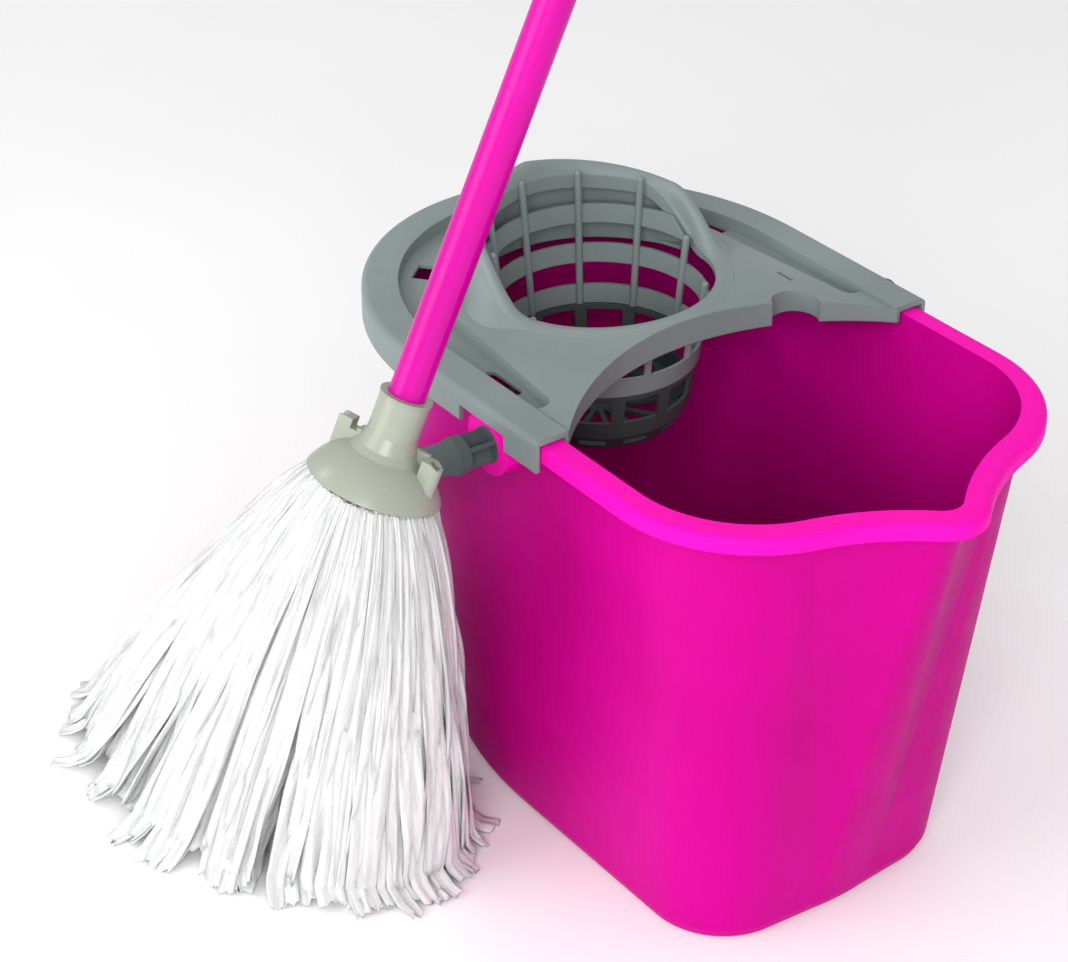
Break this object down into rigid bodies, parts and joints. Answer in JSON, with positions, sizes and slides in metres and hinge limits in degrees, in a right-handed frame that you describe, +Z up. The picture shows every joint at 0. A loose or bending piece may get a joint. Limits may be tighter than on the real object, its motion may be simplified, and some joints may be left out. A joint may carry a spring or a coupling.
{
  "type": "string mop and wringer bucket",
  "caption": "Magenta plastic bucket with a pour spout, a swinging bail and a lift-off grey cone wringer, with a string mop on a long stick standing beside it.",
  "frame": {"origin": "centre of the bucket's base on the floor", "axes": "+X towards the pour spout, +Y away from the mop, +Z up"},
  "size_m": [0.4769, 0.5124, 1.3957],
  "materials": {
    "bucket_plastic": "satin",
    "bail_plastic": "satin",
    "wringer_plastic": "satin",
    "cup_plastic": "satin",
    "cap_plastic": "satin",
    "stick_paint": "gloss",
    "stick_cap_plastic": "satin",
    "strip_cloth": "matte"
  },
  "bodies": {
    "bucket": {"bucket_shell": "bucket_plastic"},
    "bail": {"bail_handle": "bail_plastic", "bail_grip": "bail_plastic"},
    "wringer": {"wringer_frame": "wringer_plastic", "wringer_cone": "wringer_plastic", "wringer_cup": "cup_plastic"},
    "mop_head": {"mop_cap": "cap_plastic", "yarn_holder": "cap_plastic", "hank_inner_1": "strip_cloth", "hank_inner_2": "strip_cloth", "hank_inner_3": "strip_cloth", "hank_outer_1": "strip_cloth", "hank_outer_2": "strip_cloth", "hank_outer_3": "strip_cloth", "hank_outer_4": "strip_cloth", "hank_outer_5": "strip_cloth", "hank_outer_6": "strip_cloth", "hank_outer_7": "strip_cloth", "hank_outer_8": "strip_cloth", "hank_outer_9": "strip_cloth"},
    "stick": {"stick_tube": "stick_paint", "stick_plug": "cap_plastic", "stick_hanger": "stick_cap_plastic"}
  },
  "joints": [
    {"name": "bail_swing", "type": "hinge", "parent": "bucket", "child": "bail", "pos_m": [-0.008, 0, 0.257], "axis": [0, 1, 0], "range_deg": [0, 248]},
    {"name": "wringer_lift", "type": "slide", "parent": "bucket", "child": "wringer", "axis": [0, 0, 1], "range_m": [0, 0.12]},
    {"name": "mop_lift", "type": "slide", "parent": "bucket", "child": "mop_head", "axis": [0, -0.6, 0.8], "range_m": [0, 0.25]},
    {"name": "stick_pull", "type": "slide", "parent": "mop_head", "child": "stick", "axis": [0.0787, 0.3702, 0.9256], "range_m": [0, 0.03]}
  ]
}
